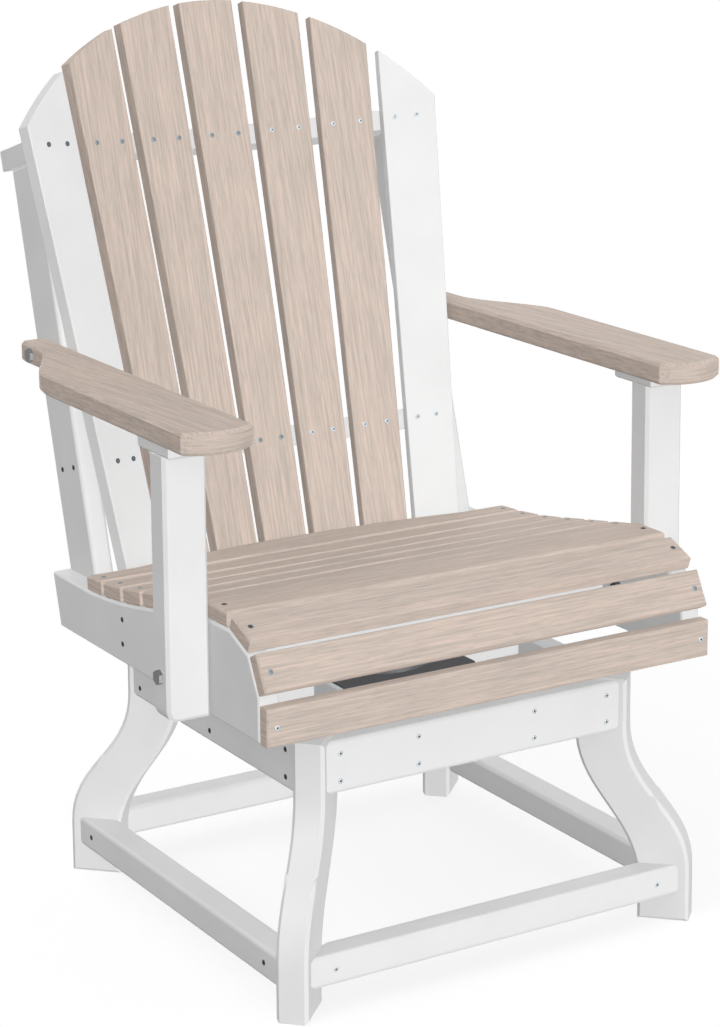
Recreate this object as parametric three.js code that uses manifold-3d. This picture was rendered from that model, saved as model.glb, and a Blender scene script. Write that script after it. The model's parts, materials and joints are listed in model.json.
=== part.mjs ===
// Adirondack swivel chair: a slatted seat with a fan back and arms that turns on a four-legged base.
// Millimetres. +Z is up, +Y is towards the back, +X is to the right of someone who faces the chair.
// Everything is laid out from the swivel axis, and the last section centres the chair on its own box.

import * as THREE from 'three';
import { mergeVertices } from 'three/addons/utils/BufferGeometryUtils.js';
import Module from 'manifold-3d';

const wasm = await Module();
wasm.setup();

// Lumber sizes
const boardThickness = 27;
const slatThickness = 19.5;
const legThickness = 38;
const legWidth = 64;
const slatWidth = 46;
const wideSlatWidth = 56.5;
const slatGap = 6.7;
const slatEdgeEase = 2.5;
const crispEdgeEase = 1;
const edgeEase = 4;

// Clearances
const fitGap = 0.3;
const mergeDistance = 1e-4;
const leastTurn = THREE.MathUtils.degToRad(0.01);

// Base: the legs stand on the diagonals, and reaches are measured from the swivel axis
const baseHeight = 307;
const legTopReach = 320;
const footReach = 400;
const legTopStraight = 62;
const outerBendFoot = 65;
const innerBendFoot = 46;
const outerPullShare = 0.4556;
const innerPullShare = 0.4372;
const apronSetback = 8.4;
const apronHeight = 64;
const stretcherSetback = 12;
const stretcherWidth = 37;
const stretcherHeight = 38;
const stretcherLift = 37;

// Swivel: two steel plates on a ring of balls, held together by a pin
const swivelHeight = 25.5;
const plateSize = 187;
const plateThickness = 3;
const plateCornerRadius = 12;
const plateScrewInset = 12;
const ballCircleRadius = 62;
const ballRadius = 4.5;
const ballCount = 12;
const raceWidth = 20;
const raceLipGap = 2.4;
const cageThickness = 1.2;
const cageWidth = 15;
const pinRadius = 6;
const pinHeadRadius = 11;
const pinHeadHeight = 6;
const plateScrewRadius = 3;
const plateScrewLength = 35;

// Seat frame: heights above the swivel are measured from the bottom of this frame
const seatWidth = 615;
const seatRise = 135;
const seatFrontReach = 280;
const crossBoardGap = 3.7;
const sideRearInset = 9;

// Seat line: a level front slat, a straight ramp behind it and a shallow dip at the back
const levelSlatSetback = 2;
const rampDrop = 2.9;
const rampAngle = THREE.MathUtils.degToRad(10.2);
const rampLength = 164.3;
const rampSlatCount = 5;
const dipRadius = 1000;
const rearSlatWidth = 38.5;
const rearSlatBow = 24;
const rearSlatBowInset = 11.2;

// Seat nose: two tilted boards wrap an arc between the level slat and the upright front board
const noseRadius = 71;
const upperNoseTilt = THREE.MathUtils.degToRad(21.6);
const lowerNoseTilt = THREE.MathUtils.degToRad(62.6);

// Back: depths run square to the leaning back, and heights run along it
const backLean = THREE.MathUtils.degToRad(16.2);
const crownHeight = 762.5;
const crownSideDrop = 115.3;
const splatSetback = 27;
const backCurveRadius = 900;
const splatCount = 7;
const upperFanInset = 15;
const lowerFanInset = 21.9;
const upperSplatGap = 14.6;
const lowerSplatGap = 12.6;
const splatFootDrop = 155;
const upperRailDrop = 179.5;
const upperRailOverhang = 26;
const lowerRailShare = 0.3985;
const uprightLead = 14;
const uprightWidth = 76;

// Arms
const armRise = 220.5;
const armWidth = 91;
const armFrontBow = 18;
const armFrontOverhang = 61;
const armNeckLength = 145;
const armNeckPullShare = 0.317;
const armTailWidth = 34;
const armTailLead = 20;
const armTailRun = 32;
const armTailCornerRadius = 6;
const postWidth = 55;
const postDepth = 36;
const postCrossGap = 16;
const postCornerRadius = 17;
const cleatThickness = 15.5;
const cleatWidth = 60;
const cleatFrontOverhang = 13;
const cleatRearOverhang = 27;

// Hex bolts that hold the posts and the tails of the arms
const boltRadius = 5;
const boltHeadRadius = 9;
const boltHeadHeight = 5;
const nutHeight = 8;
const postBoltShare = 0.453;
const armBoltInset = 20.3;

// Round stretches are cut into this many steps
const bendSteps = 18;
const roundSteps = 12;
const raceSteps = 48;
const grooveSteps = 5;
const cornerSteps = 6;
const crownSteps = 6;
const hexSides = 6;

// Materials
const whiteLumber = new THREE.MeshStandardMaterial({ color: 0xeeeeec, roughness: 0.55, metalness: 0 });
const tanLumber = new THREE.MeshStandardMaterial({ color: 0xcdbfb2, roughness: 0.7, metalness: 0 });
const blackSteel = new THREE.MeshStandardMaterial({ color: 0x2a2a2b, roughness: 0.4, metalness: 0.7 });
const brightSteel = new THREE.MeshStandardMaterial({ color: 0xb4b7b9, roughness: 0.35, metalness: 1 });

// Heights and faces that several pieces share
const seatBottom = baseHeight + swivelHeight;
const seatHalfWidth = seatWidth / 2;
const sideBoardInnerX = seatHalfWidth - boardThickness;
const uprightOuterX = sideBoardInnerX - fitGap;
const uprightInnerX = uprightOuterX - boardThickness;
const armHeight = seatRise + armRise;
const armBottom = armHeight - boardThickness;
const cleatBottom = armBottom - cleatThickness;
const armInnerX = uprightOuterX + fitGap;
const postInnerX = seatHalfWidth + fitGap;
const postOuterX = postInnerX + postWidth;
const baseRailOffset = plateSize / 2 - plateScrewInset;
const crossReach = baseRailOffset + boardThickness / 2;
const postFrontY = -crossReach - postCrossGap - postDepth;

const chair = new THREE.Group();
const base = new THREE.Group();
const seat = new THREE.Group();
seat.position.z = seatBottom;
chair.add(base, seat);

function addPart(group, name, geometry, material) {
  const mesh = new THREE.Mesh(geometry, material);
  mesh.name = name;
  group.add(mesh);
  return mesh;
}

// Solids in and out of the boolean library
function toSolid(geometry) {
  const bare = geometry.clone();
  bare.deleteAttribute('normal');
  bare.deleteAttribute('uv');
  const merged = mergeVertices(bare, mergeDistance);
  return new wasm.Manifold(new wasm.Mesh({
    numProp: 3,
    vertProperties: Float32Array.from(merged.attributes.position.array),
    triVerts: Uint32Array.from(merged.index.array),
  }));
}

function toGeometry(solid) {
  const mesh = solid.getMesh();
  const geometry = new THREE.BufferGeometry();
  geometry.setAttribute('position', new THREE.BufferAttribute(mesh.vertProperties, mesh.numProp));
  geometry.setIndex(new THREE.BufferAttribute(mesh.triVerts, 1));
  geometry.computeVertexNormals();
  return geometry;
}

function cut(geometry, tools) {
  return toGeometry(tools.reduce((solid, tool) => solid.subtract(toSolid(tool)), toSolid(geometry)));
}

function join(geometries) {
  return toGeometry(geometries.map(toSolid).reduce((solid, next) => solid.add(next)));
}

// A board cut from an outline, with its two faces' edges eased. It fills z = 0 to its thickness.
function board(outline, thickness, ease = edgeEase) {
  const geometry = new THREE.ExtrudeGeometry(outline, {
    depth: thickness - 2 * ease,
    bevelThickness: ease,
    bevelSize: ease,
    bevelOffset: -ease,
    bevelSegments: 1,
    curveSegments: bendSteps,
  });
  return geometry.translate(0, 0, ease);
}

function outlineOf(points) {
  return new THREE.Shape(points.map(([a, b]) => new THREE.Vector2(a, b)));
}

function rectangle(left, right, bottom, top) {
  return outlineOf([[left, bottom], [right, bottom], [right, top], [left, top]]);
}

// Turns an outline drawn in (Y, Z) so that its thickness runs along +X from the given face
function standAlongX(geometry, fromX) {
  const axes = new THREE.Matrix4().makeBasis(
    new THREE.Vector3(0, 1, 0),
    new THREE.Vector3(0, 0, 1),
    new THREE.Vector3(1, 0, 0),
  );
  return geometry.applyMatrix4(axes).translate(fromX, 0, 0);
}

// Turns an outline drawn in (X, Z) so that its thickness runs along +Y from the given face
function standAlongY(geometry, fromY, thickness) {
  return geometry.rotateX(Math.PI / 2).translate(0, fromY + thickness, 0);
}

// Round bars for bores, shanks and heads, centred on their own middle
function barAlongX(radius, fromX, toX, y, z, sides = roundSteps) {
  const bar = new THREE.CylinderGeometry(radius, radius, Math.abs(toX - fromX), sides);
  return bar.rotateZ(Math.PI / 2).translate((fromX + toX) / 2, y, z);
}

function barAlongZ(radius, fromZ, toZ, x, y, sides = roundSteps) {
  const bar = new THREE.CylinderGeometry(radius, radius, Math.abs(toZ - fromZ), sides);
  return bar.rotateX(Math.PI / 2).translate(x, y, (fromZ + toZ) / 2);
}

// Legs: S-shaped planks that stand on the diagonals with their feet splayed outwards
function legGeometry() {
  const topInner = legTopReach - legWidth;
  const footInner = footReach - legWidth;
  const legBendTop = baseHeight - legTopStraight;
  const outerBendPull = outerPullShare * (legBendTop - outerBendFoot);
  const innerBendPull = innerPullShare * (legBendTop - innerBendFoot);
  const outline = new THREE.Shape();
  outline.moveTo(footReach, 0);
  outline.lineTo(footReach, outerBendFoot);
  outline.bezierCurveTo(
    footReach, outerBendFoot + outerBendPull,
    legTopReach, legBendTop - outerBendPull,
    legTopReach, legBendTop,
  );
  outline.lineTo(legTopReach, baseHeight);
  outline.lineTo(topInner, baseHeight);
  outline.lineTo(topInner, legBendTop);
  outline.bezierCurveTo(
    topInner, legBendTop - innerBendPull,
    footInner, innerBendFoot + innerBendPull,
    footInner, innerBendFoot,
  );
  outline.lineTo(footInner, 0);
  const plank = board(outline, legThickness);
  return standAlongY(plank, -legThickness / 2, legThickness);
}

const corners = [
  ['front_left', -3 / 4],
  ['front_right', -1 / 4],
  ['rear_right', 1 / 4],
  ['rear_left', 3 / 4],
];
for (const [place, turnShare] of corners) {
  const leg = addPart(base, `leg_${place}`, legGeometry(), whiteLumber);
  leg.rotation.z = turnShare * Math.PI;
}

// A bar between two legs, drawn for the front, with its ends mitred to the legs' broad faces.
// Its outer corners stand a setback inside the legs' outer edges.
const legMitre = Math.SQRT2 * (legThickness / 2 + fitGap);

function barReach(legReach, setback) {
  return (Math.SQRT2 * (legReach - setback) + legMitre) / 2;
}

const apronReach = barReach(legTopReach, apronSetback);
const stretcherReach = barReach(footReach, stretcherSetback);

function mitredBar(reach, depth, height, lift) {
  const outerHalf = reach - legMitre;
  const innerHalf = outerHalf - depth;
  const outline = outlineOf([
    [-outerHalf, -reach],
    [outerHalf, -reach],
    [innerHalf, depth - reach],
    [-innerHalf, depth - reach],
  ]);
  return board(outline, height).translate(0, 0, lift);
}

const sides = [
  ['front', 0],
  ['right', 1 / 2],
  ['rear', 1],
  ['left', 3 / 2],
];
for (const [place, turnShare] of sides) {
  const apronShape = mitredBar(apronReach, boardThickness, apronHeight, baseHeight - apronHeight);
  const apron = addPart(base, `apron_${place}`, apronShape, whiteLumber);
  apron.rotation.z = turnShare * Math.PI;
  const stretcherShape = mitredBar(stretcherReach, stretcherWidth, stretcherHeight, stretcherLift);
  const stretcher = addPart(base, `stretcher_${place}`, stretcherShape, whiteLumber);
  stretcher.rotation.z = turnShare * Math.PI;
}

// A bore's flats stand clear of the round piece inside it
function boreRadius(radius) {
  return (radius + fitGap) / Math.cos(Math.PI / roundSteps);
}

// Base rails run front to back under the swivel, and a block braces each to its side apron
const plateScrewPlaces = [-baseRailOffset, baseRailOffset];
const plateScrewBore = boreRadius(plateScrewRadius);
const apronInnerReach = apronReach - boardThickness;

function baseRailGeometry(x) {
  const half = apronInnerReach - fitGap;
  const outline = rectangle(x - boardThickness / 2, x + boardThickness / 2, -half, half);
  const rail = board(outline, apronHeight).translate(0, 0, baseHeight - apronHeight);
  const boreFoot = baseHeight + plateThickness - plateScrewLength - fitGap;
  const tools = plateScrewPlaces.map((y) => (
    barAlongZ(plateScrewBore, boreFoot, baseHeight + fitGap, x, y)
  ));
  return cut(rail, tools);
}

function baseBlockGeometry(side) {
  const inner = baseRailOffset + boardThickness / 2 + fitGap;
  const outer = apronInnerReach - fitGap;
  const [left, right] = side < 0 ? [-outer, -inner] : [inner, outer];
  const outline = rectangle(left, right, -boardThickness / 2, boardThickness / 2);
  return board(outline, apronHeight).translate(0, 0, baseHeight - apronHeight);
}

for (const [place, side] of [['left', -1], ['right', 1]]) {
  addPart(base, `base_rail_${place}`, baseRailGeometry(side * baseRailOffset), whiteLumber);
  addPart(base, `base_block_${place}`, baseBlockGeometry(side), whiteLumber);
}

// Swivel plates: each is a rounded square with a grooved race ring welded to it. The heads of its four
// screws are sunk flush, and their shanks run into the lumber behind the plate.
const lowerPlateTop = baseHeight + plateThickness;
const upperPlateFoot = seatBottom - plateThickness;
const ballHeight = (lowerPlateTop + upperPlateFoot) / 2;

function roundedSquare(size, radius) {
  const inner = size / 2 - radius;
  const outline = new THREE.Shape();
  outline.absarc(inner, inner, radius, 0, Math.PI / 2);
  outline.absarc(-inner, inner, radius, Math.PI / 2, Math.PI);
  outline.absarc(-inner, -inner, radius, Math.PI, 3 * Math.PI / 2);
  outline.absarc(inner, -inner, radius, 3 * Math.PI / 2, 2 * Math.PI);
  return outline;
}

// A race ring stands on its plate and opens a round groove towards the balls
function raceGeometry(weldFace, towardsBalls) {
  const grooveRadius = ballRadius + fitGap;
  const lip = ballHeight - towardsBalls * raceLipGap / 2;
  const grooveStart = Math.asin(raceLipGap / 2 / grooveRadius);
  const outer = ballCircleRadius + raceWidth / 2;
  const inner = ballCircleRadius - raceWidth / 2;
  const profile = [
    new THREE.Vector2(inner, weldFace),
    new THREE.Vector2(outer, weldFace),
    new THREE.Vector2(outer, lip),
  ];
  for (let step = 0; step <= grooveSteps; step += 1) {
    const angle = grooveStart + (Math.PI - 2 * grooveStart) * step / grooveSteps;
    profile.push(new THREE.Vector2(
      ballCircleRadius + grooveRadius * Math.cos(angle),
      ballHeight - towardsBalls * grooveRadius * Math.sin(angle),
    ));
  }
  profile.push(new THREE.Vector2(inner, lip));
  profile.push(profile[0].clone());
  if (towardsBalls < 0) profile.reverse();
  return new THREE.LatheGeometry(profile, raceSteps).rotateX(Math.PI / 2);
}

function swivelPlateGeometry(foot, towardsBalls) {
  const square = new THREE.ExtrudeGeometry(roundedSquare(plateSize, plateCornerRadius), {
    depth: plateThickness,
    bevelEnabled: false,
    curveSegments: cornerSteps,
  });
  square.translate(0, 0, foot);
  const middle = foot + plateThickness / 2;
  const screwTip = middle + towardsBalls * (plateThickness / 2 - plateScrewLength);
  const pieces = [square, raceGeometry(middle, towardsBalls)];
  for (const x of plateScrewPlaces) {
    for (const y of plateScrewPlaces) pieces.push(barAlongZ(plateScrewRadius, middle, screwTip, x, y));
  }
  const bore = barAlongZ(boreRadius(pinRadius), foot - fitGap, foot + plateThickness + fitGap, 0, 0);
  return cut(join(pieces), [bore]);
}

const upperPlate = swivelPlateGeometry(upperPlateFoot, -1).translate(0, 0, -seatBottom);
addPart(base, 'swivel_lower_plate', swivelPlateGeometry(baseHeight, 1), blackSteel);
addPart(seat, 'swivel_upper_plate', upperPlate, blackSteel);

// The ball ring is a flat cage with the balls caught in it
function ballRingGeometry() {
  const inner = ballCircleRadius - cageWidth / 2;
  const outer = ballCircleRadius + cageWidth / 2;
  const foot = ballHeight - cageThickness / 2;
  const top = ballHeight + cageThickness / 2;
  const profile = [[inner, foot], [outer, foot], [outer, top], [inner, top], [inner, foot]];
  const cage = new THREE.LatheGeometry(profile.map(([r, z]) => new THREE.Vector2(r, z)), raceSteps);
  const pieces = [cage.rotateX(Math.PI / 2)];
  for (let index = 0; index < ballCount; index += 1) {
    const angle = 2 * Math.PI * index / ballCount;
    const ball = new THREE.SphereGeometry(ballRadius, roundSteps, roundSteps / 2);
    ball.rotateX(Math.PI / 2);
    pieces.push(ball.translate(
      ballCircleRadius * Math.cos(angle),
      ballCircleRadius * Math.sin(angle),
      ballHeight,
    ));
  }
  return join(pieces);
}

addPart(base, 'swivel_ball_ring', ballRingGeometry(), brightSteel);

// The pin hangs its head under the lower plate and takes a nut above the upper plate
const pinHeadTop = baseHeight - fitGap;
const pinNutFoot = seatBottom + fitGap;
const pinTop = pinNutFoot + nutHeight;
const pin = join([
  barAlongZ(pinHeadRadius, pinHeadTop - pinHeadHeight, pinHeadTop, 0, 0, hexSides),
  barAlongZ(pinRadius, pinHeadTop - pinHeadHeight / 2, pinTop, 0, 0),
]);
const pinNut = cut(
  barAlongZ(pinHeadRadius, pinNutFoot, pinTop, 0, 0, hexSides),
  [barAlongZ(boreRadius(pinRadius), seatBottom, pinTop + fitGap, 0, 0)],
);
addPart(base, 'swivel_pin', pin, brightSteel);
addPart(base, 'swivel_pin_nut', pinNut, brightSteel);

// The nose arc runs from the front board's inner face to the level slat's underside
const noseCentre = new THREE.Vector2(
  slatThickness + noseRadius - seatFrontReach,
  seatRise - slatThickness - noseRadius,
);
const levelSlatFrontY = noseCentre.x + levelSlatSetback;
const rampFrontY = levelSlatFrontY + wideSlatWidth + slatGap;
const slatPitch = slatWidth + slatGap;
const rearSlatFrontY = rampFrontY + rampSlatCount * slatPitch;

// Seat line: its height and its slope at a place along the seat
function seatTop(y) {
  const ramp = seatRise - rampDrop - Math.tan(rampAngle) * (y - rampFrontY);
  const dip = Math.max(0, y - rampFrontY - rampLength);
  return ramp + dip ** 2 / (2 * dipRadius);
}

function seatTilt(y) {
  const dip = Math.max(0, y - rampFrontY - rampLength);
  return Math.atan(dip / dipRadius - Math.tan(rampAngle));
}

// Lines in the seat's side view, each a point and a direction in (Y, Z)
function meet(first, second) {
  const offset = second.point.clone().sub(first.point);
  const along = offset.cross(second.direction) / first.direction.cross(second.direction);
  return first.point.clone().addScaledVector(first.direction, along);
}

// A seat board has the middle of its top face, its tilt and its width.
// A tilt of zero is level, and a positive tilt drops the front edge.
function rearwards(tilt) {
  return new THREE.Vector2(Math.cos(tilt), Math.sin(tilt));
}

function downwards(tilt) {
  return new THREE.Vector2(Math.sin(tilt), -Math.cos(tilt));
}

// The line a fit gap below a board
function supportLine({ y, z, tilt }) {
  const point = new THREE.Vector2(y, z).addScaledVector(downwards(tilt), slatThickness + fitGap);
  return { point, direction: rearwards(tilt) };
}

function boardOnRamp(frontY, width) {
  const y = frontY + width / 2;
  return { y, z: seatTop(y), tilt: seatTilt(y), width };
}

// A nose board's underside is a chord of the nose arc
function boardOnNose(tilt) {
  const chordReach = Math.sqrt(noseRadius ** 2 - (slatWidth / 2) ** 2);
  const middle = noseCentre.clone().addScaledVector(downwards(tilt), -chordReach - slatThickness);
  return { y: middle.x, z: middle.y, tilt, width: slatWidth };
}

const levelBoard = {
  y: levelSlatFrontY + wideSlatWidth / 2,
  z: seatRise,
  tilt: 0,
  width: wideSlatWidth,
};
const rampBoards = Array.from({ length: rampSlatCount }, (_, index) => (
  boardOnRamp(rampFrontY + index * slatPitch, slatWidth)
));
const rearBoard = boardOnRamp(rearSlatFrontY, rearSlatWidth);
const upperNoseBoard = boardOnNose(upperNoseTilt);
const lowerNoseBoard = boardOnNose(lowerNoseTilt);
const frontBoard = {
  y: -seatFrontReach,
  z: slatWidth / 2,
  tilt: Math.PI / 2,
  width: slatWidth,
};

function layOnSeat(mesh, { y, z, tilt }) {
  mesh.position.set(0, y, z);
  mesh.rotation.x = tilt;
}

function slatGeometry(width) {
  const outline = rectangle(-seatHalfWidth, seatHalfWidth, -width / 2, width / 2);
  return board(outline, slatThickness, slatEdgeEase).translate(0, 0, -slatThickness);
}

// The rear slat bows backwards in plan to follow the curve of the back
function rearSlatGeometry() {
  const front = -rearSlatWidth / 2;
  const rear = rearSlatWidth / 2;
  const bowHalfWidth = uprightInnerX - rearSlatBowInset;
  const bowRadius = (bowHalfWidth ** 2 + rearSlatBow ** 2) / (2 * rearSlatBow);
  const halfAngle = Math.asin(bowHalfWidth / bowRadius);
  const outline = new THREE.Shape();
  outline.moveTo(-seatHalfWidth, front);
  outline.lineTo(seatHalfWidth, front);
  outline.lineTo(seatHalfWidth, rear);
  outline.absarc(
    0,
    rear + rearSlatBow - bowRadius,
    bowRadius,
    Math.PI / 2 - halfAngle,
    Math.PI / 2 + halfAngle,
  );
  outline.lineTo(-seatHalfWidth, rear);
  return board(outline, slatThickness, slatEdgeEase).translate(0, 0, -slatThickness);
}

const flatBoards = [levelBoard, ...rampBoards, rearBoard].reverse();
flatBoards.forEach((place, index) => {
  const geometry = index === 0 ? rearSlatGeometry() : slatGeometry(place.width);
  layOnSeat(addPart(seat, `seat_slat_${index + 1}`, geometry, tanLumber), place);
});
const noseBoards = [
  ['seat_nose_upper', upperNoseBoard],
  ['seat_nose_lower', lowerNoseBoard],
  ['seat_front_board', frontBoard],
];
for (const [name, place] of noseBoards) {
  layOnSeat(addPart(seat, name, slatGeometry(place.width), tanLumber), place);
}

// Depths into the leaning back: the splats' front face stands a setback behind the rear slat's bow,
// and the uprights and rails are placed from it
const rearSlatEdge = new THREE.Vector2(rearBoard.y, rearBoard.z)
  .addScaledVector(rearwards(rearBoard.tilt), rearSlatWidth / 2 + rearSlatBow);
const rearSlatDepth = rearSlatEdge.x * Math.cos(backLean) - rearSlatEdge.y * Math.sin(backLean);
const splatFaceDepth = rearSlatDepth + splatSetback;
const uprightFrontDepth = splatFaceDepth - uprightLead;
const uprightRearDepth = uprightFrontDepth + uprightWidth;
const sideRearDepth = uprightRearDepth - sideRearInset;
const upperRailRearDepth = uprightRearDepth + upperRailOverhang;

// The Y at which a plane of the leaning back crosses a height
function backFaceAt(depth, z) {
  return (depth + z * Math.sin(backLean)) / Math.cos(backLean);
}

// Side boards: the top edge is cut flat under each seat board, so it follows the seat line
function sideBoardOutline() {
  const noseToRear = [frontBoard, lowerNoseBoard, upperNoseBoard, levelBoard, ...rampBoards, rearBoard];
  const lines = noseToRear.map(supportLine);
  const rearLine = lines[lines.length - 1];
  const rearCorner = rearLine.point.clone().addScaledVector(rearLine.direction, rearSlatWidth / 2);
  const points = [
    new THREE.Vector2(backFaceAt(sideRearDepth, 0), 0),
    new THREE.Vector2(lines[0].point.x, 0),
  ];
  for (let index = 1; index < lines.length; index += 1) {
    const turn = Math.abs(lines[index - 1].direction.cross(lines[index].direction));
    if (turn > leastTurn) points.push(meet(lines[index - 1], lines[index]));
  }
  points.push(rearCorner);
  points.push(new THREE.Vector2(backFaceAt(sideRearDepth, rearCorner.y), rearCorner.y));
  return new THREE.Shape(points);
}

// Bolt holes pass through the posts and the side boards behind them
const postBoltHeight = postBoltShare * (seatRise - slatThickness);
const postBoltY = postFrontY + postDepth / 2;
const boltBore = boreRadius(boltRadius);

function postBore(fromX, toX) {
  return barAlongX(boltBore, fromX, toX, postBoltY, postBoltHeight);
}

function sideBoardGeometry(side) {
  const innerFace = side < 0 ? -seatHalfWidth : sideBoardInnerX;
  const plank = board(sideBoardOutline(), boardThickness, slatEdgeEase);
  const blank = standAlongX(plank, innerFace);
  return cut(blank, [postBore(side * (sideBoardInnerX - boardThickness), side * postOuterX)]);
}

// Cross boards carry the swivel's upper plate between the side boards, and end just under the slats
const slatUnderside = seatTop(crossReach) - (slatThickness + fitGap) / Math.cos(seatTilt(crossReach));
const crossBoardHeight = slatUnderside - crossBoardGap;

function crossBoardGeometry(y) {
  const half = sideBoardInnerX - fitGap;
  const outline = rectangle(-half, half, y - boardThickness / 2, y + boardThickness / 2);
  const boreTop = plateScrewLength - plateThickness + fitGap;
  const tools = plateScrewPlaces.map((x) => barAlongZ(plateScrewBore, -fitGap, boreTop, x, y));
  return cut(board(outline, crossBoardHeight), tools);
}

addPart(seat, 'seat_cross_front', crossBoardGeometry(-baseRailOffset), whiteLumber);
addPart(seat, 'seat_cross_rear', crossBoardGeometry(baseRailOffset), whiteLumber);

// Back frame: everything in it is laid out in depth (Y) and height along the back (Z)
const back = new THREE.Group();
back.rotation.x = -backLean;
seat.add(back);

const crownAlongBack = (crownHeight + splatFaceDepth * Math.sin(backLean)) / Math.cos(backLean);
const upperRailHeight = crownAlongBack - upperRailDrop;
const lowerRailHeight = lowerRailShare * upperRailHeight;
const upperRailFoot = upperRailHeight - boardThickness / 2;
const lowerRailFoot = lowerRailHeight - boardThickness / 2;
const curveCentreDepth = splatFaceDepth - backCurveRadius;
const railCurveRadius = backCurveRadius + slatThickness;

// The arm's bolt is square to the upright's side, at the middle of the arm's thickness
const armBoltZ = armBottom + boardThickness / 2;
const armBoltY = backFaceAt(uprightFrontDepth, armBoltZ) + armBoltInset;

function armBore(fromX, toX) {
  return barAlongX(boltBore, fromX, toX, armBoltY, armBoltZ);
}

function uprightGeometry(side) {
  const foot = (fitGap + uprightRearDepth * Math.sin(backLean)) / Math.cos(backLean);
  const outline = rectangle(uprightFrontDepth, uprightRearDepth, foot, upperRailFoot - fitGap);
  const face = side < 0 ? -uprightOuterX : uprightInnerX;
  const blank = standAlongX(board(outline, boardThickness), face);
  const bore = armBore(side * (uprightInnerX - boardThickness), side * (armInnerX + armWidth));
  return cut(blank, [bore.rotateX(backLean)]);
}

// A back rail: its front edge is an arc that the splats lie on, its rear edge is straight
function backRailGeometry(halfLength, rearDepth, foot) {
  const halfAngle = Math.asin(halfLength / railCurveRadius);
  const outline = new THREE.Shape();
  outline.moveTo(halfLength, rearDepth);
  outline.lineTo(-halfLength, rearDepth);
  outline.absarc(
    0,
    curveCentreDepth,
    railCurveRadius,
    Math.PI / 2 + halfAngle,
    Math.PI / 2 - halfAngle,
    true,
  );
  return board(outline, boardThickness, crispEdgeEase).translate(0, 0, foot);
}

const upperRail = backRailGeometry(uprightOuterX, upperRailRearDepth, upperRailFoot);
const lowerRail = backRailGeometry(uprightInnerX - fitGap, uprightRearDepth, lowerRailFoot);
addPart(back, 'back_rail_upper', upperRail, whiteLumber);
addPart(back, 'back_rail_lower', lowerRail, whiteLumber);

// Splats fan out from the lower rail to the upper one. Each is a flat tapered board that rests
// with its edges on the rails' arcs, and its top end is cut to the crown, an arc seen from the front.
// Pitches are measured along the splats' front faces.
const upperSplatPitch = 2 * (uprightOuterX - upperFanInset) / (splatCount - 1);
const lowerSplatPitch = 2 * (uprightInnerX - lowerFanInset) / (splatCount - 1);
const upperSplatWidth = upperSplatPitch - upperSplatGap;
const lowerSplatWidth = lowerSplatPitch - lowerSplatGap;
const crownRadius = (uprightOuterX ** 2 + crownSideDrop ** 2) / (2 * crownSideDrop);

function onRailCurve(faceArcLength, height) {
  const angle = faceArcLength / backCurveRadius;
  return new THREE.Vector3(
    railCurveRadius * Math.sin(angle),
    curveCentreDepth + railCurveRadius * Math.cos(angle),
    height,
  );
}

const splatSpread = (upperSplatWidth - lowerSplatWidth) / 2 / (upperRailHeight - lowerRailHeight);

function splatHalfWidth(height) {
  return lowerSplatWidth / 2 + splatSpread * (height - lowerRailHeight);
}

// The splat's frame: X across it, Y through it and Z along it, from its middle on the lower rail
function splatFrame(index) {
  const foot = onRailCurve(index * lowerSplatPitch, lowerRailHeight);
  const head = onRailCurve(index * upperSplatPitch, upperRailHeight);
  const along = head.clone().sub(foot).normalize();
  const turn = index * (lowerSplatPitch + upperSplatPitch) / 2 / backCurveRadius;
  const through = new THREE.Vector3(Math.sin(turn), Math.cos(turn), 0);
  through.addScaledVector(along, -through.dot(along)).normalize();
  const across = through.clone().cross(along);
  let overlap = 0;
  for (const spot of [foot, head]) {
    for (const edge of [-1, 1]) {
      const touch = spot.clone().addScaledVector(across, edge * splatHalfWidth(spot.z));
      const reach = Math.hypot(touch.x, touch.y - curveCentreDepth);
      overlap = Math.max(overlap, reach - railCurveRadius);
    }
  }
  const origin = foot.addScaledVector(through, -(overlap + 2 * fitGap + slatThickness));
  return new THREE.Matrix4().makeBasis(across, through, along).setPosition(origin);
}

// Where a line up the splat, a given distance across it, meets the crown
function crownCut(frame, across) {
  const toSeat = new THREE.Matrix4().makeRotationX(-backLean).multiply(frame);
  const start = new THREE.Vector3(across, 0, 0).applyMatrix4(toSeat);
  const climb = new THREE.Vector3(0, 0, 1).transformDirection(toSeat);
  const centre = crownHeight - crownRadius;
  const rise = start.z - centre;
  const half = start.x * climb.x + rise * climb.z;
  const squared = climb.x ** 2 + climb.z ** 2;
  const rest = start.x ** 2 + rise ** 2 - crownRadius ** 2;
  return (Math.sqrt(half ** 2 - squared * rest) - half) / squared;
}

function splatGeometry(frame) {
  const footHalf = splatHalfWidth(lowerRailHeight - splatFootDrop);
  const points = [
    new THREE.Vector2(-footHalf, -splatFootDrop),
    new THREE.Vector2(footHalf, -splatFootDrop),
  ];
  const middle = crownCut(frame, 0);
  for (let step = 0; step <= crownSteps; step += 1) {
    const acrossShare = 1 - 2 * step / crownSteps;
    const level = acrossShare * splatHalfWidth(lowerRailHeight + middle);
    const across = level + acrossShare * splatSpread * (crownCut(frame, level) - middle);
    points.push(new THREE.Vector2(across, crownCut(frame, across)));
  }
  const plank = board(new THREE.Shape(points), slatThickness, crispEdgeEase);
  return standAlongY(plank, 0, slatThickness);
}

for (let number = 1; number <= splatCount; number += 1) {
  const index = number - (splatCount + 1) / 2;
  const frame = splatFrame(index);
  const outermost = number === 1 || number === splatCount;
  const material = outermost ? whiteLumber : tanLumber;
  const splat = addPart(back, `back_splat_${number}`, splatGeometry(frame), material);
  splat.applyMatrix4(frame);
}

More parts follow.
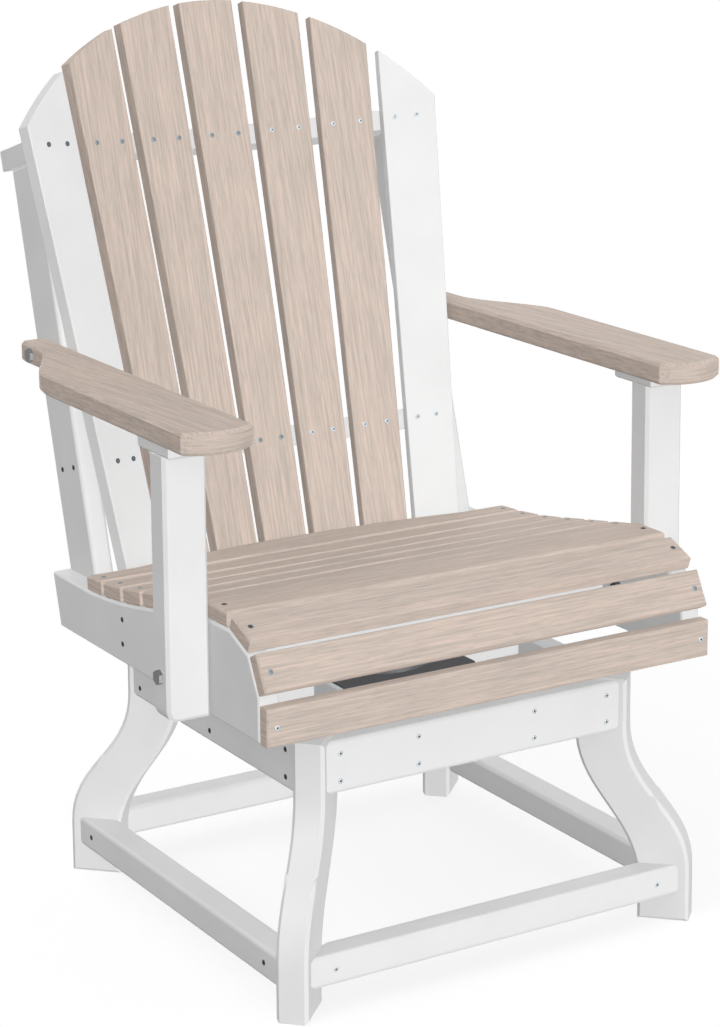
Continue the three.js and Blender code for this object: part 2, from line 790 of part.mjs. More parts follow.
// Arm posts stand outside the side boards, with the lower outer corner rounded off
function postGeometry(side) {
  const outline = new THREE.Shape();
  outline.moveTo(0, 0);
  outline.lineTo(side * (postWidth - postCornerRadius), 0);
  outline.quadraticCurveTo(side * postWidth, 0, side * postWidth, postCornerRadius);
  outline.lineTo(side * postWidth, cleatBottom);
  outline.lineTo(0, cleatBottom);
  const blank = standAlongY(board(outline, postDepth), postFrontY, postDepth);
  blank.translate(side * postInnerX, 0, 0);
  return cut(blank, [postBore(side * sideBoardInnerX, side * (postOuterX + boltHeadHeight))]);
}

// A cleat caps each post and carries the arm
function cleatGeometry(side) {
  const outer = side * postOuterX;
  const inner = side * (postOuterX - cleatWidth);
  const outline = rectangle(
    Math.min(outer, inner),
    Math.max(outer, inner),
    postFrontY - cleatFrontOverhang,
    postFrontY + postDepth + cleatRearOverhang,
  );
  return board(outline, cleatThickness, slatEdgeEase).translate(0, 0, cleatBottom);
}

// An arm: a bowed front end, a straight body, and a neck that narrows to a tail beside the upright
const armCornerY = postFrontY - armFrontOverhang;
const armRearY = armBoltY + armTailRun;
const armNeckRearY = armBoltY - armTailLead;
const armNeckFrontY = armNeckRearY - armNeckLength;
const armNeckPull = armNeckPullShare * armNeckLength;

function armGeometry(side) {
  const inner = side * armInnerX;
  const outer = side * (armInnerX + armWidth);
  const tail = side * (armInnerX + armTailWidth);
  const bowRadius = ((armWidth / 2) ** 2 + armFrontBow ** 2) / (2 * armFrontBow);
  const bowCentreY = armCornerY - armFrontBow + bowRadius;
  const halfAngle = Math.asin(armWidth / 2 / bowRadius);
  const down = 3 * Math.PI / 2;
  const outline = new THREE.Shape();
  outline.moveTo(tail - side * armTailCornerRadius, armRearY);
  outline.lineTo(inner, armRearY);
  outline.absarc(
    (inner + outer) / 2,
    bowCentreY,
    bowRadius,
    down - side * halfAngle,
    down + side * halfAngle,
    side < 0,
  );
  outline.lineTo(outer, armNeckFrontY);
  outline.bezierCurveTo(
    outer, armNeckFrontY + armNeckPull,
    tail, armNeckRearY - armNeckPull,
    tail, armNeckRearY,
  );
  outline.lineTo(tail, armRearY - armTailCornerRadius);
  outline.quadraticCurveTo(tail, armRearY, tail - side * armTailCornerRadius, armRearY);
  const blank = board(outline, boardThickness).translate(0, 0, armBottom);
  return cut(blank, [armBore(side * uprightInnerX, side * (armInnerX + armWidth))]);
}

// A hex bolt runs inwards from the outer face of what it holds, with a nut on the inner face
function sideBoltGeometry(side, outerFace, innerFace, y, z) {
  const headSeat = outerFace + fitGap;
  const headTop = headSeat + boltHeadHeight;
  const tip = innerFace - fitGap - nutHeight;
  return join([
    barAlongX(boltHeadRadius, side * headSeat, side * headTop, y, z, hexSides),
    barAlongX(boltRadius, side * (headSeat + boltHeadHeight / 2), side * tip, y, z),
  ]);
}

function sideNutGeometry(side, innerFace, y, z) {
  const nutSeat = innerFace - fitGap;
  const tip = nutSeat - nutHeight;
  const nut = barAlongX(boltHeadRadius, side * nutSeat, side * tip, y, z, hexSides);
  return cut(nut, [barAlongX(boltBore, side * innerFace, side * (tip - fitGap), y, z)]);
}

const armTailFace = armInnerX + armTailWidth;
for (const [place, side] of [['left', -1], ['right', 1]]) {
  addPart(seat, `seat_side_${place}`, sideBoardGeometry(side), whiteLumber);
  addPart(back, `back_upright_${place}`, uprightGeometry(side), whiteLumber);
  addPart(seat, `arm_post_${place}`, postGeometry(side), whiteLumber);
  addPart(seat, `arm_cleat_${place}`, cleatGeometry(side), whiteLumber);
  addPart(seat, `arm_${place}`, armGeometry(side), tanLumber);
  const postBolt = sideBoltGeometry(side, postOuterX, sideBoardInnerX, postBoltY, postBoltHeight);
  const postNut = sideNutGeometry(side, sideBoardInnerX, postBoltY, postBoltHeight);
  const armBolt = sideBoltGeometry(side, armTailFace, uprightInnerX, armBoltY, armBoltZ);
  const armNut = sideNutGeometry(side, uprightInnerX, armBoltY, armBoltZ);
  addPart(seat, `post_bolt_${place}`, postBolt, brightSteel);
  addPart(seat, `post_nut_${place}`, postNut, brightSteel);
  addPart(seat, `arm_bolt_${place}`, armBolt, brightSteel);
  addPart(seat, `arm_nut_${place}`, armNut, brightSteel);
}

// The origin is on the floor, at the middle of the box that holds the whole chair
chair.updateMatrixWorld(true);
const box = new THREE.Box3().setFromObject(chair, true);
chair.position.y = -(box.min.y + box.max.y) / 2;

export default chair;
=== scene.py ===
# %% [markdown]
# An adirondack swivel chair in white and tan plastic lumber
#
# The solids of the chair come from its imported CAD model, so this lesson is about its looks. We load the
# solids, round their edges, make the two kinds of plastic lumber, the black steel and the stainless steel,
# drive in the small screws that hold every board, and light the chair softly in front of a white
# background. Lengths are in metres, a name that ends in _MM holds millimetres, and +Z is up. The front of
# the chair looks along -Y, and its left is the side at -X, as we see it from the front.

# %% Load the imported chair
import json
import math

import bmesh
import bpy
from mathutils import Matrix, Vector


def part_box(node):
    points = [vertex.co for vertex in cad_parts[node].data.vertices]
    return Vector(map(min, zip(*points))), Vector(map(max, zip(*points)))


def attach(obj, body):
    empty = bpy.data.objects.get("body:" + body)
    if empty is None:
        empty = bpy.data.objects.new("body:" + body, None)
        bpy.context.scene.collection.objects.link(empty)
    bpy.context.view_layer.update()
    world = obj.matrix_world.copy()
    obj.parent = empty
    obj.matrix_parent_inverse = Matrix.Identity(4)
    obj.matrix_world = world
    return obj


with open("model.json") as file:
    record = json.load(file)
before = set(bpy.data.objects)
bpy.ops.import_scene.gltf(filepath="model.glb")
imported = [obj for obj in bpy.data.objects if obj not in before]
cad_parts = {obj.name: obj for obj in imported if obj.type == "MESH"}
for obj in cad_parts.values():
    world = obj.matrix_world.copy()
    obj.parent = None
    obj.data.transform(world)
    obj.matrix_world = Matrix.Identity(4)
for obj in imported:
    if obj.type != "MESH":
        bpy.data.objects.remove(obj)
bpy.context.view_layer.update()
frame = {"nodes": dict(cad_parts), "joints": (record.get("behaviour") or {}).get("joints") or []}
nodes = frame["nodes"]

# %% [markdown]
# The swivel axis
#
# The seat turns about one upright line. Its place is read from the joint. The base is square about this
# line, which isn't the middle of the chair's box, so the base's screws are measured from it.

# %% Read the swivel axis and say what a millimetre is
MM = 0.001
swivel = frame["joints"][0]
AXIS_Y = swivel["pos_m"][1]
print("swivel axis at y =", round(AXIS_Y / MM, 2), "mm")

# %% [markdown]
# The camera
#
# The chair was photographed from the front left, from some way off and from higher than its own top. The
# lens is long, which keeps the legs almost parallel. We place the camera, name the point that it looks at,
# and turn it there. The small lens shift is what a cropped photograph has.

# %% Make the camera
CAMERA_PLACE = Vector((-1.7743, -3.0508, 1.4406))
CAMERA_AIM = Vector((0.1579, -0.0588, 0.7306))
SENSOR_MM = 36
LENS_MM = 101.32
LENS_SHIFT = (-0.1071, -0.1996)

camera_data = bpy.data.cameras.new("camera")
camera_data.sensor_width = SENSOR_MM
camera_data.lens = LENS_MM
camera_data.shift_x, camera_data.shift_y = LENS_SHIFT
camera = bpy.data.objects.new("camera", camera_data)
bpy.context.scene.collection.objects.link(camera)
camera.location = CAMERA_PLACE
camera.rotation_euler = (CAMERA_AIM - CAMERA_PLACE).to_track_quat("-Z", "Y").to_euler()
bpy.context.scene.camera = camera
print("camera is", round((CAMERA_AIM - CAMERA_PLACE).length, 2), "m from its aim")

# %% [markdown]
# Colours
#
# A colour picked from a screen is an sRGB value, while the renderer adds up light in linear values. One
# small function turns the first into the second, so every colour below can be written as the hex value that
# it has on a screen.

# %% Turn a hex colour to linear
def linear(hex_colour):
    """A colour written as RRGGBB, as linear red, green, blue and alpha, by the sRGB curve."""
    channels = [int(hex_colour[i:i + 2], 16) / 255 for i in (0, 2, 4)]
    return [c / 12.92 if c <= 0.04045 else ((c + 0.055) / 1.055) ** 2.4 for c in channels] + [1.0]


WHITE = linear("FFFFFF")
print("a screen's middle grey is", round(linear("808080")[0], 3), "of white in linear light")

# %% [markdown]
# Building a node material
#
# A material is a small network. This helper adds one node, sets its named properties and its inputs, and
# links any input that is given as another node's output. With it a whole network reads as a list of steps.

# %% Helpers for node materials
def add_node(tree, kind, settings=None, **inputs):
    """Adds a node. settings are its properties, and inputs are values or outputs of other nodes.
    An input's name is written with _ for a space, or as in_0, in_1 for the first and second input."""
    node = tree.nodes.new(kind)
    for name, value in (settings or {}).items():
        setattr(node, name, value)
    for name, value in inputs.items():
        socket = node.inputs[int(name[3:]) if name.startswith("in_") else name.replace("_", " ")]
        if isinstance(value, bpy.types.NodeSocket):
            tree.links.new(value, socket)
        else:
            socket.default_value = value
    return node


def start_material(name):
    """A new empty material, and the tree to build in."""
    material = bpy.data.materials.new(name)
    material.use_nodes = True
    tree = material.node_tree
    tree.nodes.clear()
    return material, tree


def finish_material(material, shader):
    """Links the last shader to the material's surface, and gives the material back."""
    add_node(material.node_tree, "ShaderNodeOutputMaterial", Surface=shader.outputs[0])
    print("made", material.name)
    return material


def set_ramp(node, stops):
    """Gives a new colour ramp its two or more stops, each a place from 0 to 1 and a hex colour."""
    elements = node.color_ramp.elements
    while len(elements) < len(stops):
        elements.new(0.5)
    for element, (place, colour) in zip(elements, stops):
        element.position = place
        element.color = linear(colour)

# %% [markdown]
# White plastic lumber
#
# The frame is made of high-density polyethylene lumber: milk-jug plastic that is extruded as a board and
# cut like wood. White HDPE is a waxy satin white, a shade below paper, with a faint orange peel from the
# extruder and no grain. We give it a typical IOR of 1.54, a roughness near 0.5, a barely visible change of
# tone over a hand's width, and a fine bump about 3 mm across.

# %% Make the white lumber
WHITE_IOR = 1.54
WHITE_ROUGHNESS = 0.5
WHITE_CLOUD_MM = 90
WHITE_PEEL_MM = 3
WHITE_PEEL_DEPTH_MM = 0.15


def make_white_lumber():
    material, tree = start_material("white_hdpe_lumber_extruded")
    place = add_node(tree, "ShaderNodeTexCoord").outputs["Object"]
    cloud = add_node(tree, "ShaderNodeTexNoise", Vector=place, Scale=1 / (WHITE_CLOUD_MM * MM), Detail=3.0)
    tone = add_node(tree, "ShaderNodeValToRGB", Fac=cloud.outputs["Fac"])
    set_ramp(tone, [(0.35, "E6E6E6"), (0.65, "EAEAEA")])
    peel = add_node(tree, "ShaderNodeTexNoise", Vector=place, Scale=1 / (WHITE_PEEL_MM * MM), Detail=2.0)
    gloss = add_node(tree, "ShaderNodeMapRange", Value=cloud.outputs["Fac"],
                     To_Min=WHITE_ROUGHNESS - 0.04, To_Max=WHITE_ROUGHNESS + 0.06)
    bump = add_node(tree, "ShaderNodeBump", Height=peel.outputs["Fac"],
                    Strength=0.12, Distance=WHITE_PEEL_DEPTH_MM * MM)
    shader = add_node(tree, "ShaderNodeBsdfPrincipled", Base_Color=tone.outputs["Color"],
                      Roughness=gloss.outputs["Result"], IOR=WHITE_IOR, Normal=bump.outputs["Normal"])
    return finish_material(material, shader)


white_lumber = make_white_lumber()

# %% [markdown]
# Where a point lies on a tan board
#
# The slats, arms and middle splats are the same plastic in a driftwood tan, rolled with a fine wood grain
# that runs along each board. So each tan material needs one thing, the direction of its boards. We measure
# a point along the board, across it and through it. The saw shows the streaks from their ends, so on a cut
# end we let them run across the board.

# %% Measure a point along, across and through its board
UP = Vector((0, 0, 1))
CUT_END_COSINE = 0.8


def make_board_place(tree, along):
    """How far a point lies along the grain, across it and through the board, in millimetres."""
    along = along.normalized()
    aside = along.cross(UP).normalized()
    through = along.cross(aside)
    point = add_node(tree, "ShaderNodeTexCoord")
    reach = []
    for axis in (along, aside, through):
        dot = add_node(tree, "ShaderNodeVectorMath", {"operation": "DOT_PRODUCT"},
                       in_0=point.outputs["Object"], in_1=axis / MM)
        reach.append(dot.outputs["Value"])
    on_face = add_node(tree, "ShaderNodeCombineXYZ", X=reach[0], Y=reach[1], Z=reach[2])
    on_end = add_node(tree, "ShaderNodeCombineXYZ", X=reach[1], Y=reach[2])
    facing = add_node(tree, "ShaderNodeVectorMath", {"operation": "DOT_PRODUCT"},
                      in_0=point.outputs["Normal"], in_1=along)
    size = add_node(tree, "ShaderNodeMath", {"operation": "ABSOLUTE"}, in_0=facing.outputs["Value"])
    is_end = add_node(tree, "ShaderNodeMath", {"operation": "GREATER_THAN"},
                      in_0=size.outputs["Value"], in_1=CUT_END_COSINE)
    place = add_node(tree, "ShaderNodeMix", {"data_type": "VECTOR"}, in_0=is_end.outputs["Value"],
                     in_4=on_face.outputs["Vector"], in_5=on_end.outputs["Vector"])
    return place.outputs["Result"]


print("a face is a cut end within", round(math.degrees(math.acos(CUT_END_COSINE))), "degrees of the grain")

# %% [markdown]
# Tan plastic lumber with an embossed wood grain
#
# The grain is a set of streaks: thin rose and grey strokes a few millimetres wide and some centimetres long,
# over broader bands, with hair-fine darker fibres between them. A noise gives such strokes when the place
# that it reads is divided by their length and their width.

# %% Stretch a noise into strokes
def add_grain(tree, place, length_mm, width_mm, detail, roughness=0.5):
    """A noise that is stretched into strokes of a length and a width."""
    share = Vector((1 / length_mm, 1 / width_mm, 1 / width_mm))
    squeezed = add_node(tree, "ShaderNodeVectorMath", {"operation": "MULTIPLY"}, in_0=place, in_1=share)
    noise = add_node(tree, "ShaderNodeTexNoise", Vector=squeezed.outputs["Vector"], Scale=1.0,
                     Detail=detail, Roughness=roughness)
    return noise.outputs["Fac"]


STREAK_LENGTH_MM, STREAK_WIDTH_MM = 95, 3.0
BAND_LENGTH_MM, BAND_WIDTH_MM = 260, 11
FIBRE_LENGTH_MM, FIBRE_WIDTH_MM = 22, 1.7
print("a streak is about", STREAK_LENGTH_MM, "by", STREAK_WIDTH_MM, "mm")

# %% [markdown]
# The colour of the grain
#
# The streaks run from a warm grey to rose. A quarter of the colour comes from the bands, which have the same
# tones with less contrast, and the fibres pull it towards a darker grey. The grain is full of fine ridges
# that throw a reflection in all directions, so the tan plastic mirrors half as much as smooth plastic.

# %% Make the tan lumber for boards that run in a given direction
TAN_IOR = 1.54
TAN_ROUGHNESS = 0.58
TAN_SPECULAR = 0.25
STREAK_DEPTH_MM = 0.3
BAND_SHARE = 0.25
FIBRE_SHARE = 0.35


def add_tan_colour(tree, streak, band, fibre):
    """The streaks' colours with a share of the bands' colours, darkened along the fibres."""
    streak_tone = add_node(tree, "ShaderNodeValToRGB", Fac=streak)
    set_ramp(streak_tone, [(0.34, "BCB0A6"), (0.46, "CABBB0"), (0.55, "D2C2B7"), (0.67, "DFCABD")])
    band_tone = add_node(tree, "ShaderNodeValToRGB", Fac=band)
    set_ramp(band_tone, [(0.35, "C8BBB0"), (0.50, "D0C0B5"), (0.65, "D8C4B8")])
    toned = add_node(tree, "ShaderNodeMix", {"data_type": "RGBA"}, in_0=BAND_SHARE,
                     in_6=streak_tone.outputs["Color"], in_7=band_tone.outputs["Color"])
    fibre_mask = add_node(tree, "ShaderNodeMapRange", Value=fibre,
                          From_Min=0.50, From_Max=0.70, To_Min=0.0, To_Max=FIBRE_SHARE)
    colour = add_node(tree, "ShaderNodeMix", {"data_type": "RGBA"}, in_0=fibre_mask.outputs["Result"],
                      in_6=toned.outputs["Result"], in_7=linear("AAA096"))
    return colour.outputs["Result"]


def make_tan_lumber(boards, along):
    material, tree = start_material(f"tan_hdpe_lumber_rolled_grain_{boards}")
    place = make_board_place(tree, along)
    streak = add_grain(tree, place, STREAK_LENGTH_MM, STREAK_WIDTH_MM, detail=2.0, roughness=0.6)
    band = add_grain(tree, place, BAND_LENGTH_MM, BAND_WIDTH_MM, detail=1.0)
    fibre = add_grain(tree, place, FIBRE_LENGTH_MM, FIBRE_WIDTH_MM, detail=1.0)
    colour = add_tan_colour(tree, streak, band, fibre)
    gloss = add_node(tree, "ShaderNodeMapRange", Value=streak,
                     To_Min=TAN_ROUGHNESS + 0.1, To_Max=TAN_ROUGHNESS - 0.08)
    bump = add_node(tree, "ShaderNodeBump", Height=streak, Strength=0.25, Distance=STREAK_DEPTH_MM * MM)
    shader = add_node(tree, "ShaderNodeBsdfPrincipled", Base_Color=colour,
                      Roughness=gloss.outputs["Result"], IOR=TAN_IOR, Specular_IOR_Level=TAN_SPECULAR,
                      Normal=bump.outputs["Normal"])
    return finish_material(material, shader)


print("the tan plastic's roughness is near", TAN_ROUGHNESS)

# %% [markdown]
# Black powder-coated steel
#
# The swivel's two plates are pressed steel with a baked powder coat. Powder flows out to a fine orange peel
# of about a millimetre, and it reflects softly. It is a plastic skin over the metal, so metallic stays 0.

# %% Make the black steel
POWDER_IOR = 1.5
POWDER_PEEL_MM = 1.2
POWDER_PEEL_DEPTH_MM = 0.1


def make_black_steel():
    material, tree = start_material("black_powder_coated_steel")
    place = add_node(tree, "ShaderNodeTexCoord").outputs["Object"]
    peel = add_node(tree, "ShaderNodeTexNoise", Vector=place, Scale=1 / (POWDER_PEEL_MM * MM), Detail=2.0)
    tone = add_node(tree, "ShaderNodeValToRGB", Fac=peel.outputs["Fac"])
    set_ramp(tone, [(0.3, "5E5E60"), (0.7, "6C6C6E")])
    gloss = add_node(tree, "ShaderNodeMapRange", Value=peel.outputs["Fac"], To_Min=0.36, To_Max=0.46)
    bump = add_node(tree, "ShaderNodeBump", Height=peel.outputs["Fac"],
                    Strength=0.3, Distance=POWDER_PEEL_DEPTH_MM * MM)
    shader = add_node(tree, "ShaderNodeBsdfPrincipled", Base_Color=tone.outputs["Color"],
                      Roughness=gloss.outputs["Result"], IOR=POWDER_IOR, Normal=bump.outputs["Normal"])
    return finish_material(material, shader)


black_steel = make_black_steel()

# %% [markdown]
# Stainless steel
#
# Screws, bolts, nuts and bearing balls are plain stainless steel. Each was turned or cold-headed and
# tumbled, which leaves a dull grey sheen with tiny scratches in every direction. A metal keeps the default
# IOR, because its colour is its reflection. The screw heads on the base's front are drawn bright, those on
# the left side dark, and those on the seat and the back between, as each would mirror another part of the
# studio. Our studio is white all round, so the heads get lit and shaded copies of one steel instead, whose
# tones are painted reflection, and the small square well in each gets a darker tone, which is painted shade.

# %% Make the stainless steels
SCRATCH_MM = 0.6
GLOSS_SPREAD = 0.08
TUMBLED_ROUGHNESS = 0.42
SCREW_ROUGHNESS = 0.62


def make_stainless(name, dark_tone, light_tone, roughness=SCREW_ROUGHNESS):
    material, tree = start_material(f"stainless_steel_{name}")
    place = add_node(tree, "ShaderNodeTexCoord").outputs["Object"]
    scratch = add_node(tree, "ShaderNodeTexNoise", Vector=place, Scale=1 / (SCRATCH_MM * MM), Detail=3.0)
    tone = add_node(tree, "ShaderNodeValToRGB", Fac=scratch.outputs["Fac"])
    set_ramp(tone, [(0.3, dark_tone), (0.7, light_tone)])
    gloss = add_node(tree, "ShaderNodeMapRange", Value=scratch.outputs["Fac"],
                     To_Min=roughness - GLOSS_SPREAD, To_Max=roughness + GLOSS_SPREAD)
    shader = add_node(tree, "ShaderNodeBsdfPrincipled", Base_Color=tone.outputs["Color"],
                      Metallic=1.0, Roughness=gloss.outputs["Result"])
    return finish_material(material, shader)


stainless = make_stainless("tumbled", "909294", "A8AAAC", TUMBLED_ROUGHNESS)
# The head steels below are lit and shaded copies of one steel, a painted reflection; the well steels are
# painted shade.
bright_heads = make_stainless("screw_head_painted_bright_reflection", "B4BABE", "C4CACE")
grey_heads = make_stainless("screw_head_painted_grey_reflection", "868F94", "969FA4")
dim_heads = make_stainless("screw_head_painted_dim_reflection", "585C60", "666A6E")
dark_heads = make_stainless("screw_head_painted_dark_reflection", "44484C", "505458")
grey_well = make_stainless("screw_well_painted_light_shade", "707A84", "7C868E")
dark_well = make_stainless("screw_well_in_shade", "303336", "3A3D40")

# %% [markdown]
# Smooth shading
#
# A round only looks round if its faces are shaded as one. A small geometry node group shades everything
# smooth that turns by less than a set angle, and keeps the sharper edges.

# %% Make the smooth-shading node group
SMOOTH_ANGLE = math.radians(32)


def make_smooth_group():
    """A geometry node group that shades smooth, and keeps edges sharp that turn more than SMOOTH_ANGLE."""
    group = bpy.data.node_groups.new("shade_smooth_by_angle", "GeometryNodeTree")
    group.interface.new_socket("Geometry", in_out="INPUT", socket_type="NodeSocketGeometry")
    group.interface.new_socket("Geometry", in_out="OUTPUT", socket_type="NodeSocketGeometry")
    source = add_node(group, "NodeGroupInput")
    faces = add_node(group, "GeometryNodeSetShadeSmooth", {"domain": "FACE"}, Geometry=source.outputs[0])
    turn = add_node(group, "GeometryNodeInputMeshEdgeAngle")
    gentle = add_node(group, "FunctionNodeCompare", {"data_type": "FLOAT", "operation": "LESS_THAN"},
                      in_0=turn.outputs["Unsigned Angle"], in_1=SMOOTH_ANGLE)
    edges = add_node(group, "GeometryNodeSetShadeSmooth", {"domain": "EDGE"},
                     Geometry=faces.outputs["Geometry"], Shade_Smooth=gentle.outputs["Result"])
    add_node(group, "NodeGroupOutput", in_0=edges.outputs["Geometry"])
    return group


smooth_by_angle = make_smooth_group()
print("made", smooth_by_angle.name)


def shade_smooth(obj):
    """Adds the smooth-shading node group to an object as a modifier."""
    shade = obj.modifiers.new("shade smooth", "NODES")
    shade.node_group = smooth_by_angle

# %% [markdown]
# Rounded edges
#
# Plastic lumber is routed with a small round on every long edge, and the light that runs along those rounds
# is what makes the boards look real. The solids have a flat chamfer there. We leave their meshes as they
# are and add modifiers: a weld joins the corners, and a bevel rounds the chamfer's two edges. At last the
# large faces get more weight than the small rounds beside them, which keeps them evenly lit up to their
# edges.

# %% Say how the edges are rounded
BEVEL_ANGLE = math.radians(28)
BEVEL_SEGMENTS = 2
WELD_MM = 0.01
CRISP_EDGE_MM = 0.5
THIN_EDGE_MM = 1.0
THICK_EDGE_MM = 1.6
TURNED_PARTS = ("swivel", "post_bolt", "post_nut", "arm_bolt", "arm_nut")
CRISP_BOARDS = ("back_splat", "back_rail")
THIN_BOARDS = ("seat_slat", "seat_nose", "seat_front_board", "seat_side", "arm_cleat")


def edge_mm(name):
    """How wide the round on a solid's edges is. Turned and pressed parts have theirs in the solid."""
    if name.startswith(TURNED_PARTS):
        return 0
    if name.startswith(CRISP_BOARDS):
        return CRISP_EDGE_MM
    return THIN_EDGE_MM if name.startswith(THIN_BOARDS) else THICK_EDGE_MM


def round_edges(obj, width_mm):
    """Rounds what turns sharply on a solid, without touching its mesh."""
    weld = obj.modifiers.new("join corners", "WELD")
    weld.merge_threshold = WELD_MM * MM
    if width_mm:
        bevel = obj.modifiers.new("round edges", "BEVEL")
        bevel.width = width_mm * MM
        bevel.segments = BEVEL_SEGMENTS
        bevel.limit_method = "ANGLE"
        bevel.angle_limit = BEVEL_ANGLE
    shade_smooth(obj)
    flat = obj.modifiers.new("keep faces flat", "WEIGHTED_NORMAL")
    flat.keep_sharp = True


print("rounds are", CRISP_EDGE_MM, "to", THICK_EDGE_MM, "mm wide")

# %% [markdown]
# Dressing the solids
#
# Every solid now gets its finish and its edges. White boards share one material, since it has no direction.
# Tan boards get a material for their direction: across the chair for the seat boards, nearly from front to
# back for the arms, and up the leaning back for the splats. In the photograph the grain of every splat runs
# straight up the back, also where the splat itself fans out, as if all were sawn from one wide panel.

# %% Make the tan lumber of the seat, the arms and the splats
BACK_LEAN = math.radians(16.2)
ARM_GRAIN_TURN = math.radians(-5)
UP_THE_BACK = Vector((0, math.sin(BACK_LEAN), math.cos(BACK_LEAN)))
INTO_THE_BACK = Vector((0, math.cos(BACK_LEAN), -math.sin(BACK_LEAN)))
ACROSS = Vector((1, 0, 0))
ALONG_THE_ARMS = Vector((math.sin(ARM_GRAIN_TURN), math.cos(ARM_GRAIN_TURN), 0))
seat_tan = make_tan_lumber("seat_boards", ACROSS)
arm_tan = make_tan_lumber("arms", ALONG_THE_ARMS)
splat_tan = make_tan_lumber("splats", UP_THE_BACK)

# %% Dress every solid
WHITE_BOARDS = ("leg", "apron", "stretcher", "base_rail", "base_block", "seat_cross", "seat_side",
                "back_upright", "back_rail", "arm_post", "arm_cleat")
WHITE_SPLATS = ("back_splat_1", "back_splat_7")
SEAT_BOARDS = ("seat_slat", "seat_nose", "seat_front_board")
ARMS = ("arm_left", "arm_right")
BLACK_PARTS = ("swivel_lower_plate", "swivel_upper_plate")


def finish_of(name):
    """The material of a solid. What isn't a board or a black plate is plain stainless steel."""
    if name.startswith(WHITE_BOARDS) or name in WHITE_SPLATS:
        return white_lumber
    if name in ARMS:
        return arm_tan
    if name.startswith("back_splat"):
        return splat_tan
    if name.startswith(SEAT_BOARDS):
        return seat_tan
    return black_steel if name in BLACK_PARTS else stainless


for name, obj in nodes.items():
    obj.data.materials.clear()
    obj.data.materials.append(finish_of(name))
    round_edges(obj, edge_mm(name))
print("dressed", len(nodes), "solids")

# %% [markdown]
# Board screws
#
# Each board is held by short stainless screws with a low round head and a square drive, which stand less
# than a millimetre proud of the plastic. In the photograph each is a small dot, about 7 mm across, with a
# middle of another tone. We build one head as a lathe: a ring of points for each step of its round profile,
# and a square well in the middle. The well ends just above the board, because below that the board would
# hide it.

# %% Build the mesh of one screw head
SCREW_RADIUS_MM = 3.4
SCREW_PROUD_MM = 0.7
DRIVE_HALF_MM = 1.2
DRIVE_DEPTH_MM = 0.4
HEAD_SIDES = 24
# The steps of the round profile, each a share of the head's radius and a share of its height.
HEAD_PROFILE = [(1.0, -0.25), (1.0, 0.25), (0.94, 0.55), (0.80, 0.80), (0.60, 0.94)]
HEAD_ANGLES = [2 * math.pi * side / HEAD_SIDES for side in range(HEAD_SIDES)]
# The well's slot takes a darker steel than the head, which is painted shade.
HEAD_SLOT, WELL_SLOT = 0, 1


def add_ring(mesh, place, radii_mm, lift_mm):
    """A ring of points around a screw's axis, each at its own radius and all at one height."""
    points = [Vector((radius * math.cos(angle), radius * math.sin(angle), lift_mm)) * MM
              for radius, angle in zip(radii_mm, HEAD_ANGLES)]
    return [mesh.verts.new(place @ point) for point in points]


def square_radii_mm(half_mm):
    """How far a square reaches in the direction of each point of a ring."""
    return [half_mm / max(abs(math.cos(angle)), abs(math.sin(angle))) for angle in HEAD_ANGLES]


def add_screw(mesh, middle, outwards):
    """Adds one screw head to a bmesh, with its middle on the board's face and its dome outwards."""
    turn = outwards.normalized().to_track_quat("Z", "Y").to_matrix().to_4x4()
    place = Matrix.Translation(middle) @ turn
    rings = [add_ring(mesh, place, [reach * SCREW_RADIUS_MM] * HEAD_SIDES, lift * SCREW_PROUD_MM)
             for reach, lift in HEAD_PROFILE]
    rings += [add_ring(mesh, place, square_radii_mm(DRIVE_HALF_MM), SCREW_PROUD_MM - depth_mm)
              for depth_mm in (0, DRIVE_DEPTH_MM)]
    well_wall = len(rings) - 2
    for level, (lower, upper) in enumerate(zip(rings, rings[1:])):
        for side in range(HEAD_SIDES):
            after = (side + 1) % HEAD_SIDES
            face = mesh.faces.new((lower[side], lower[after], upper[after], upper[side]))
            face.material_index = WELL_SLOT if level == well_wall else HEAD_SLOT
    mesh.faces.new(rings[-1]).material_index = WELL_SLOT
    mesh.faces.new(list(reversed(rings[0])))


print("a screw head is", 2 * SCREW_RADIUS_MM, "mm wide")

# %% [markdown]
# Groups of screws
#
# All screws of one group share one mesh object, which rides on the body that holds its boards. Its two
# material slots are the head's steel and the well's darker steel, which is painted shade.

# %% Make a group of screws
def make_screws(name, body, places, steel, well):
    """Makes one object of screw heads, each a middle and an outward direction, that rides on a body."""
    mesh = bmesh.new()
    for middle, outwards in places:
        add_screw(mesh, middle, outwards)
    data = bpy.data.meshes.new(name)
    mesh.to_mesh(data)
    mesh.free()
    data.materials.append(steel)
    data.materials.append(well)
    obj = bpy.data.objects.new(name, data)
    bpy.context.scene.collection.objects.link(obj)
    shade_smooth(obj)
    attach(obj, body)
    print(name, "has", len(places), "screws")

# %% [markdown]
# Base screws
#
# Screws go through the aprons into the base rails, the blocks and, at the corners, the legs. Others go
# through the ends of the stretchers into the legs. The base is square about the swivel axis, so the same
# rows serve all four sides, turned about that axis by a quarter at a time. Only the middle differs: the
# front and rear aprons meet two rails there, and the side aprons one block.

# %% Drive the base screws
APRON_SCREW_HEIGHTS_MM = (290.6, 257.2)
APRON_CORNER_SCREW_MM = 187.5
RAIL_SCREW_MM = 81.5
STRETCHER_SCREW_MM = 227.4
BASE_SIDES = ("front", "right", "rear", "left")
SIDE_APRONS = ("right", "left")


def face_of(node, axis, side):
    """How far a solid reaches along an axis, on its low side (-1) or its high side (1)."""
    low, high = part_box(node)
    return (low if side < 0 else high)[axis]


def on_base_side(quarter, aside, reach, height):
    """A place and its outward direction on one side of the base, quarter 0 being the front."""
    angle = quarter * math.pi / 2
    aim = Vector((math.sin(angle), -math.cos(angle), 0))
    along = Vector((math.cos(angle), math.sin(angle), 0))
    return Vector((0, AXIS_Y, height)) + aim * reach + along * aside, aim


